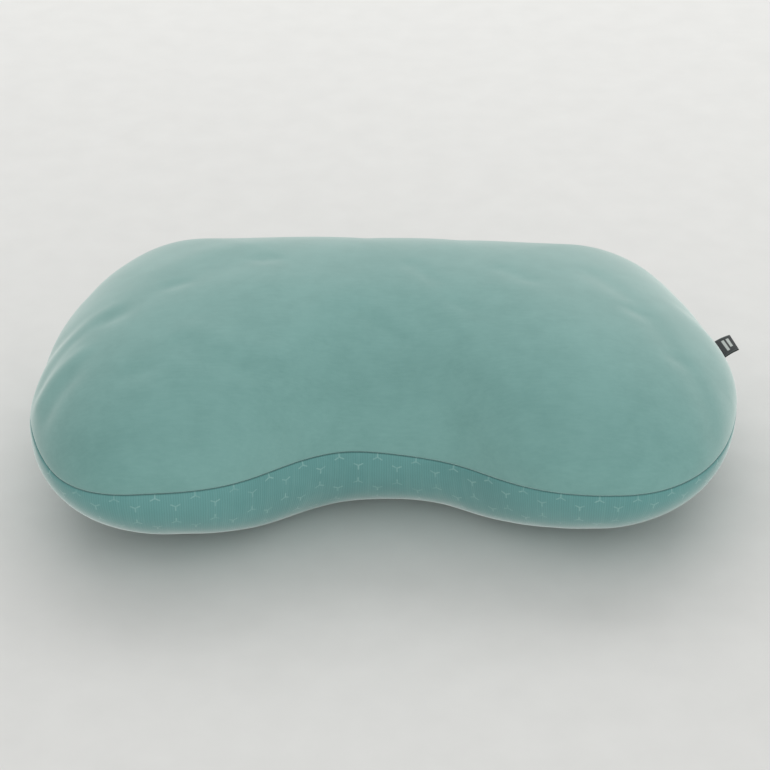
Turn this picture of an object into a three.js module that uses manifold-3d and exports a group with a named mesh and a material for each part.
// Kidney-shaped camp pillow: a zipped stretch-knit cover round a lined foam core.
// Millimetres, +Z up. The pillow lies on z = 0, its hollowed neck side faces -Y,
// and its straight back, which holds the zip, faces +Y.

import * as THREE from 'three';
import { mergeVertices } from 'three/addons/utils/BufferGeometryUtils.js';
import Module from 'manifold-3d';

const wasm = await Module();
wasm.setup();

// ---- driving dimensions -------------------------------------------------

const WIDTH = 460;
const DEPTH = 275;
const HEIGHT = 130;
const NECK_DENT = 45; // how far the front edge is hollowed
const LOBE_X = 150; // where the front lobes reach furthest forward
const WIDEST_Y = -28;
const STRAIGHT_BACK = 316; // length of the straight stretch of the back edge
const WIDEST_LEVEL = 57;
const SEAM_LEVEL = 60;

const SPINE_SHARE = 0.27; // length of the crown line, as a share of the width
const SPINE_BEND = 60; // how far along X the neck dent bends the crown line
const CROWN_POWER = 2.09; // superellipse power of the upper half's section
const SIDE_POWER = 1.8; // and of the lower half's
const BASE_SHARE = 0.58; // flat underside, as a share of the plan outline

const FABRIC = 2; // thickness of the knit cover
const SEAM_GROOVE = 1.4;
const ALONG = 24; // facets from end to end, on the back edge and on the front edge
const AROUND = 6; // facet rows from the seam to the crown or to the underside
const FIRST_ROW = 12; // height of the row next to the seam, which the zip tapes lie behind

// depths below the cover's outer face of what lies inside it
const THREAD = { from: 0.6, to: 1.6, height: 0.8 };
const BINDING = { from: 2.8, to: 3.5, height: 10 };
const CARE_LABEL = { from: 3.6, to: 4.1, width: 24, low: 24, high: 52, x: -112 };
const LINER = { from: 5.8, to: 6.6, gap: 0.4 };
const FOAM = { from: 8.6, split: 84, gap: 0.4 };

const ZIP_LENGTH = 250;
const ZIP_WINDOW = { length: 262, height: 12 };
const TAPE = { from: 2.4, to: 3.1, width: 11 };
const COIL = { from: 0, to: 2.1, width: 2.4 };
const CHANNEL = 1.4; // clear width between the zip's halves, for the slider's neck
const STOP = { length: 3, gap: 0.4, width: 2.6 };

const SLIDER = {
  x: 116, length: 11, width: 8.8, tail: 7.8,
  rear: { from: 4.3, to: 5.2 },
  front: { from: -1.5, to: -0.4 },
  flange: { thickness: 0.6, to: 2 },
  neck: { length: 3, thickness: 0.5, inset: 1 },
  bridge: { length: 5, height: 3.2, thickness: 0.9, width: 1.8 },
};
const PULL = { reach: 23, width: 7.4, thickness: 1.1, gap: 4.4, arms: 5, bar: 0.9, eyelet: 1.5 };

const LABEL = { y: 30, width: 20, length: 17.5, thickness: 1, clear: 0.6, tilt: 25, bow: 1.2 };

// ---- colours --------------------------------------------------------------

const finish = (color, roughness, metalness = 0) => ({ color, roughness, metalness });
const FINISH = {
  jersey: finish(0x7ba39e, 0.9),
  rib: finish(0x66918e, 0.88),
  thread: finish(0x3f5f5e, 0.8),
  tape: finish(0x4d7573, 0.85),
  coil: finish(0x48706e, 0.45),
  metal: finish(0x6f7476, 0.35, 0.9),
  label: finish(0x24292a, 0.8),
  satin: finish(0xe9e9e4, 0.5),
  lining: finish(0xc9ced0, 0.8),
  comfort: finish(0xf0ecd8, 0.95),
  core: finish(0xbfcad1, 0.95),
};

const pillow = new THREE.Group();

function add(name, geometry, look, parent = pillow) {
  const mesh = new THREE.Mesh(geometry, new THREE.MeshStandardMaterial(FINISH[look]));
  mesh.name = name;
  parent.add(mesh);
  return mesh;
}

// ---- closed meshes and booleans -------------------------------------------

function geometryFromTriangles(corners) {
  const geometry = new THREE.BufferGeometry().setFromPoints(corners);
  return mergeVertices(geometry, 1e-4);
}

function solid(geometry) {
  const bare = geometry.clone();
  bare.deleteAttribute('normal');
  bare.deleteAttribute('uv');
  const merged = mergeVertices(bare, 1e-4);
  return new wasm.Manifold(new wasm.Mesh({
    numProp: 3,
    vertProperties: new Float32Array(merged.attributes.position.array),
    triVerts: new Uint32Array(merged.index.array),
  }));
}

function geometryOf(manifold) {
  const mesh = manifold.getMesh();
  const geometry = new THREE.BufferGeometry();
  geometry.setAttribute('position', new THREE.BufferAttribute(mesh.vertProperties, 3));
  geometry.setIndex(new THREE.BufferAttribute(mesh.triVerts, 1));
  return geometry;
}

const cut = (geometry, ...tools) =>
  geometryOf(tools.reduce((rest, tool) => rest.subtract(solid(tool)), solid(geometry)));

const join = (first, ...others) =>
  geometryOf(others.reduce((sum, other) => sum.add(solid(other)), solid(first)));

function box(low, high) {
  const size = new THREE.Vector3().subVectors(high, low);
  const middle = new THREE.Vector3().addVectors(low, high).multiplyScalar(0.5);
  return new THREE.BoxGeometry(size.x, size.y, size.z).translate(middle.x, middle.y, middle.z);
}

// ---- the pillow's form ----------------------------------------------------

// Plan outline: straight back, round ends, and two front lobes with the neck hollow between.
function planOutline() {
  const right = WIDTH / 2;
  const back = DEPTH / 2;
  const front = -DEPTH / 2;
  const corner = STRAIGHT_BACK / 2;
  const neck = front + NECK_DENT;
  const rearEdge = new THREE.Path();
  rearEdge.moveTo(right, WIDEST_Y);
  rearEdge.bezierCurveTo(right, WIDEST_Y + 69, corner + 38, back, corner, back);
  rearEdge.lineTo(-corner, back);
  rearEdge.bezierCurveTo(-corner - 38, back, -right, WIDEST_Y + 69, -right, WIDEST_Y);
  const frontEdge = new THREE.Path();
  frontEdge.moveTo(-right, WIDEST_Y);
  frontEdge.bezierCurveTo(-right, WIDEST_Y - 54, -LOBE_X - 53, front, -LOBE_X, front);
  frontEdge.bezierCurveTo(-LOBE_X + 89, front, -LOBE_X / 2, neck, 0, neck);
  frontEdge.bezierCurveTo(LOBE_X / 2, neck, LOBE_X - 89, front, LOBE_X, front);
  frontEdge.bezierCurveTo(LOBE_X + 53, front, right, WIDEST_Y - 54, right, WIDEST_Y);
  const rear = rearEdge.getSpacedPoints(ALONG);
  const fore = frontEdge.getSpacedPoints(ALONG);
  return [...rear.slice(0, -1), ...fore.slice(0, -1)];
}

const OUTLINE = planOutline();
const COUNT = OUTLINE.length;
const partner = (i) => (COUNT - i) % COUNT; // the point across the crown line

const INWARD = OUTLINE.map((_, i) => {
  const along = OUTLINE[(i + 1) % COUNT].clone().sub(OUTLINE[(i + COUNT - 1) % COUNT]);
  return new THREE.Vector2(-along.y, along.x).normalize();
});

const crownLineY = (x) => 0.5 * NECK_DENT * Math.exp(-((x / SPINE_BEND) ** 2));

function crownPoint(i) {
  const x = SPINE_SHARE * 0.5 * (OUTLINE[i].x + OUTLINE[partner(i)].x);
  return new THREE.Vector2(x, crownLineY(x));
}

// How much of the way from the crown line to the outline the form reaches at a level.
function reach(level, depth) {
  if (level >= WIDEST_LEVEL) {
    const up = Math.min(1, (level - WIDEST_LEVEL) / (HEIGHT - depth - WIDEST_LEVEL));
    return (1 - up ** CROWN_POWER) ** (1 / CROWN_POWER);
  }
  const down = Math.min(1, (WIDEST_LEVEL - level) / (WIDEST_LEVEL - depth));
  return BASE_SHARE + (1 - BASE_SHARE) * (1 - down ** SIDE_POWER) ** (1 / SIDE_POWER);
}

function ringAt(level, depth) {
  const share = reach(level, depth);
  return OUTLINE.map((point, i) => {
    const edge = point.clone().addScaledVector(INWARD[i], depth);
    const plan = crownPoint(i).lerp(edge, share);
    return new THREE.Vector3(plan.x, plan.y, level);
  });
}

// Levels from start to end: a first row as high as the zip's tapes need, then rows that
// come closer together towards the end, where the form turns over.
function levels(start, end, rows) {
  const next = start + Math.sign(end - start) * FIRST_ROW;
  const rest = Array.from({ length: rows }, (_, k) =>
    next + (end - next) * Math.sin((k / (rows - 1)) * Math.PI / 2));
  return [start, ...rest];
}

const rings = (start, end, depth, rows = AROUND) =>
  levels(start, end, rows).map((level) => ringAt(level, depth));

class Skin {
  constructor() {
    this.corners = [];
  }

  triangle(a, b, c) {
    if (a.distanceTo(b) > 1e-3 && b.distanceTo(c) > 1e-3 && c.distanceTo(a) > 1e-3) {
      this.corners.push(a, b, c);
    }
  }

  // Rows of facets between neighbouring rings; they face out when the rings rise.
  wall(list) {
    for (let k = 0; k + 1 < list.length; k += 1) {
      for (let i = 0; i < COUNT; i += 1) {
        const j = (i + 1) % COUNT;
        this.triangle(list[k][i], list[k][j], list[k + 1][j]);
        this.triangle(list[k][i], list[k + 1][j], list[k + 1][i]);
      }
    }
    return this;
  }

  // A flat lid across a ring, between each point and its partner.
  lid(ring, facesUp) {
    for (let i = 0; i < ALONG; i += 1) {
      const quad = [ring[i], ring[i + 1], ring[partner(i + 1)], ring[partner(i)]];
      const [a, b, c, d] = facesUp ? quad : quad.reverse();
      this.triangle(a, b, c);
      this.triangle(a, c, d);
    }
    return this;
  }

  geometry() {
    return geometryFromTriangles(this.corners);
  }
}

// ---- shells, bands and filled bodies that follow the form -----------------

function dome(level, outer, inner) {
  const outside = rings(level, HEIGHT - outer, outer);
  const inside = rings(level, HEIGHT - inner, inner);
  return new Skin()
    .wall(outside)
    .wall(inside.slice().reverse())
    .wall([inside[0], outside[0]])
    .geometry();
}

function bowl(level, outer, inner) {
  const outside = rings(level, outer, outer).reverse();
  const inside = rings(level, inner, inner);
  return new Skin()
    .lid(outside[0], false)
    .wall(outside)
    .wall([outside[AROUND], inside[0]])
    .wall(inside)
    .lid(inside[AROUND], true)
    .geometry();
}

function band(low, high, outer, inner) {
  const corners = [ringAt(low, outer), ringAt(high, outer), ringAt(high, inner), ringAt(low, inner)];
  return new Skin().wall([...corners, corners[0]]).geometry();
}

function filledDome(level, depth) {
  const outside = rings(level, HEIGHT - depth, depth);
  return new Skin().lid(outside[0], false).wall(outside).geometry();
}

function filledBowl(level, depth) {
  const outside = rings(level, depth, depth).reverse();
  return new Skin().lid(outside[0], false).wall(outside).lid(outside[AROUND], true).geometry();
}

// ---- pieces on the straight back ------------------------------------------

const BACK_CROWN_Y = crownLineY(SPINE_SHARE * ZIP_LENGTH / 4);

function backY(level, depth) {
  const edge = DEPTH / 2 - depth;
  return BACK_CROWN_Y + (edge - BACK_CROWN_Y) * reach(level, depth);
}

// A strip that follows the back wall, from one level to another and between two depths.
function backStrip(x, length, low, high, from, to, steps = 2) {
  const section = new THREE.Shape();
  const heights = Array.from({ length: steps + 1 }, (_, k) => low + (high - low) * (k / steps));
  heights.forEach((level, k) => {
    const y = backY(level, from);
    if (k === 0) section.moveTo(y, level);
    else section.lineTo(y, level);
  });
  heights.reverse().forEach((level) => section.lineTo(backY(level, to), level));
  section.closePath();
  const strip = new THREE.ExtrudeGeometry(section, { depth: length, bevelEnabled: false, steps: 1 });
  strip.translate(0, 0, -length / 2);
  strip.rotateX(Math.PI / 2); // section's second axis points up
  strip.rotateZ(Math.PI / 2);
  return strip.translate(x, 0, 0);
}

// A box on the back: along X, by depth below the cover's outer face, and by height from the seam.
function backBox(xLow, xHigh, from, to, low, high) {
  const back = DEPTH / 2;
  return box(
    new THREE.Vector3(xLow, back - to, SEAM_LEVEL + low),
    new THREE.Vector3(xHigh, back - from, SEAM_LEVEL + high),
  );
}

function zipOpening(length, height) {
  return backBox(-length / 2, length / 2, -20, 20, -height / 2, height / 2);
}

// A plate parallel to the back wall, from its outline in X and height above the seam.
function backPlate(shape, from, to) {
  const plate = new THREE.ExtrudeGeometry(shape, {
    depth: to - from, bevelEnabled: false, curveSegments: 4,
  });
  return plate.rotateX(Math.PI / 2).translate(0, DEPTH / 2 - from, SEAM_LEVEL);
}

// ---- cover ------------------------------------------------------------------

const halfGroove = SEAM_GROOVE / 2;
const zipWindow = () => zipOpening(ZIP_WINDOW.length, ZIP_WINDOW.height);

function coverPanels() {
  add('cover_top_panel', cut(dome(SEAM_LEVEL + halfGroove, 0, FABRIC), zipWindow()), 'jersey');
  add('cover_base_panel', cut(bowl(SEAM_LEVEL - halfGroove, 0, FABRIC), zipWindow()), 'rib');
}

function seamTrim() {
  const halfThread = THREAD.height / 2;
  const halfBinding = BINDING.height / 2;
  const thread = band(SEAM_LEVEL - halfThread, SEAM_LEVEL + halfThread, THREAD.from, THREAD.to);
  const binding = band(
    SEAM_LEVEL - halfBinding, SEAM_LEVEL + halfBinding, BINDING.from, BINDING.to,
  );
  add('seam_thread', cut(thread, zipWindow()), 'thread');
  add('seam_binding', cut(binding, zipWindow()), 'tape');
}

// A folded woven loop on the seam at the rear right; it stands out and a little up.
function sideLabel() {
  const k = OUTLINE.findIndex((_, i) => OUTLINE[i + 1].y > LABEL.y);
  const [a, b] = [OUTLINE[k], OUTLINE[k + 1]];
  const root = a.clone().lerp(b, (LABEL.y - a.y) / (b.y - a.y));
  const outward = new THREE.Vector3(b.y - a.y, a.x - b.x, 0).normalize();
  const half = LABEL.thickness / 2;
  const section = new THREE.Shape();
  section.moveTo(0, -half);
  section.quadraticCurveTo(LABEL.length / 2, LABEL.bow - half, LABEL.length, -half);
  section.lineTo(LABEL.length, half);
  section.quadraticCurveTo(LABEL.length / 2, LABEL.bow + half, 0, half);
  section.closePath();
  const loop = new THREE.ExtrudeGeometry(section, {
    depth: LABEL.width, bevelEnabled: false, curveSegments: 4,
  });
  loop.translate(0, 0, -LABEL.width / 2).rotateZ(THREE.MathUtils.degToRad(LABEL.tilt));
  const mesh = add('side_label', loop, 'label');
  const up = new THREE.Vector3(0, 0, 1);
  const along = new THREE.Vector3().crossVectors(outward, up);
  mesh.quaternion.setFromRotationMatrix(new THREE.Matrix4().makeBasis(outward, up, along));
  mesh.position.set(root.x, root.y, SEAM_LEVEL).addScaledVector(outward, LABEL.clear);
}

function careLabel() {
  const { x, width, low, high, from, to } = CARE_LABEL;
  add('care_label', backStrip(x, width, low, high, from, to), 'satin');
}

// ---- zip ----------------------------------------------------------------------

const halfZip = ZIP_LENGTH / 2;
const halfChannel = CHANNEL / 2;

// The two halves mirror each other about the seam: side is 1 for the upper, -1 for the lower.
function zipHalf(name, side) {
  const heights = (near, far) => [side * near, side * far].sort((a, b) => a - b);
  const [tapeLow, tapeHigh] = heights(halfChannel, TAPE.width);
  const tape = backStrip(
    0, ZIP_LENGTH, SEAM_LEVEL + tapeLow, SEAM_LEVEL + tapeHigh, TAPE.from, TAPE.to, 1,
  );
  add(`zip_tape_${name}`, tape, 'tape');
  const [coilLow, coilHigh] = heights(halfChannel, halfChannel + COIL.width);
  const coilEnd = halfZip - STOP.length - STOP.gap;
  add(`zip_coil_${name}`, backBox(-coilEnd, coilEnd, COIL.from, COIL.to, coilLow, coilHigh), 'coil');
  const [stopLow, stopHigh] = heights(halfChannel, halfChannel + STOP.width);
  const stop = backBox(halfZip - STOP.length, halfZip, COIL.from, COIL.to, stopLow, stopHigh);
  add(`zip_top_stop_${name}`, stop, 'metal');
}

function bottomStop() {
  const reachUp = halfChannel + STOP.width;
  const start = STOP.length - halfZip;
  add('zip_bottom_stop', backBox(-halfZip, start, COIL.from, COIL.to, -reachUp, reachUp), 'metal');
}

// Half the slider's width: it narrows from the shoulders (+X), where the halves part, to the tail.
function wingEdge(x) {
  const { length, width, tail } = SLIDER;
  const run = length - width / 4;
  return tail / 2 + ((width - tail) / 2) * Math.min(1, (x + length / 2) / run);
}

function wingOutline() {
  const { length, width } = SLIDER;
  const shoulder = length / 2 - width / 4;
  const shape = new THREE.Shape();
  shape.moveTo(-length / 2, -wingEdge(-length / 2));
  shape.lineTo(shoulder, -width / 2);
  shape.quadraticCurveTo(length / 2, -width / 2, length / 2, 0);
  shape.quadraticCurveTo(length / 2, width / 2, shoulder, width / 2);
  shape.lineTo(-length / 2, wingEdge(-length / 2));
  shape.closePath();
  return shape;
}

// The turned-in edge of the front wing that hooks round the chain, on the side given by its sign.
function flangeOutline(side) {
  const { length, width, flange } = SLIDER;
  const [start, end] = [-length / 4, length / 2 - width / 4];
  return new THREE.Shape([
    new THREE.Vector2(start, side * (wingEdge(start) - flange.thickness)),
    new THREE.Vector2(end, side * (wingEdge(end) - flange.thickness)),
    new THREE.Vector2(end, side * wingEdge(end)),
    new THREE.Vector2(start, side * wingEdge(start)),
  ]);
}

function slider() {
  const { x, length, rear, front, flange, neck, bridge } = SLIDER;
  const neckEnd = length / 2 - neck.inset;
  const overlap = 0.5; // how far joined pieces run into each other
  const web = neck.thickness / 2;
  const roof = front.from - bridge.height;
  const half = bridge.length / 2;
  const opening = half - bridge.thickness;
  const arch = cut(
    backBox(-half, half, roof, front.from + overlap, -bridge.width / 2, bridge.width / 2),
    backBox(-opening, opening, roof + bridge.thickness, front.from, -bridge.width, bridge.width),
  );
  const body = join(
    backPlate(wingOutline(), front.from, front.to),
    backPlate(wingOutline(), rear.from, rear.to),
    backBox(neckEnd - neck.length, neckEnd, front.to - overlap, rear.from + overlap, -web, web),
    backPlate(flangeOutline(1), front.to - overlap, flange.to),
    backPlate(flangeOutline(-1), front.to - overlap, flange.to),
    arch,
  );
  add('zip_slider', body, 'metal').position.x = x;
}

// A flat tab whose end bar turns in the slider's bridge; it lies along the chain, towards -X.
function pull() {
  const { reach: length, width, thickness, gap, arms, bar, eyelet } = PULL;
  const { x, front, bridge } = SLIDER;
  const pivotDepth = front.from - (bridge.height - bridge.thickness) / 2;
  const tip = width / 2 - length;
  const shape = new THREE.Shape();
  shape.moveTo(bar / 2, -width / 2);
  shape.lineTo(bar / 2, width / 2);
  shape.lineTo(tip, width / 2);
  shape.absarc(tip, 0, width / 2, Math.PI / 2, 1.5 * Math.PI, false);
  shape.closePath();
  const slot = new THREE.Path([
    new THREE.Vector2(-bar / 2, -gap / 2),
    new THREE.Vector2(-arms, -gap / 2),
    new THREE.Vector2(-arms, gap / 2),
    new THREE.Vector2(-bar / 2, gap / 2),
  ]);
  const hole = new THREE.Path().absarc(tip, 0, eyelet, 0, 2 * Math.PI, true);
  shape.holes.push(slot, hole);
  const tab = backPlate(shape, pivotDepth - thickness / 2, pivotDepth + thickness / 2);
  add('zip_pull', tab, 'metal').position.x = x;
}

// ---- filling ------------------------------------------------------------------

function filling() {
  const halfSeam = LINER.gap / 2;
  const halfSplit = FOAM.gap / 2;
  add('liner_top', dome(SEAM_LEVEL + halfSeam, LINER.from, LINER.to), 'lining');
  add('liner_base', bowl(SEAM_LEVEL - halfSeam, LINER.from, LINER.to), 'lining');
  add('foam_comfort_layer', filledDome(FOAM.split + halfSplit, FOAM.from), 'comfort');
  add('foam_support_core', filledBowl(FOAM.split - halfSplit, FOAM.from), 'core');
}

coverPanels();
seamTrim();
sideLabel();
careLabel();
zipHalf('upper', 1);
zipHalf('lower', -1);
bottomStop();
slider();
pull();
filling();

export default pillow;
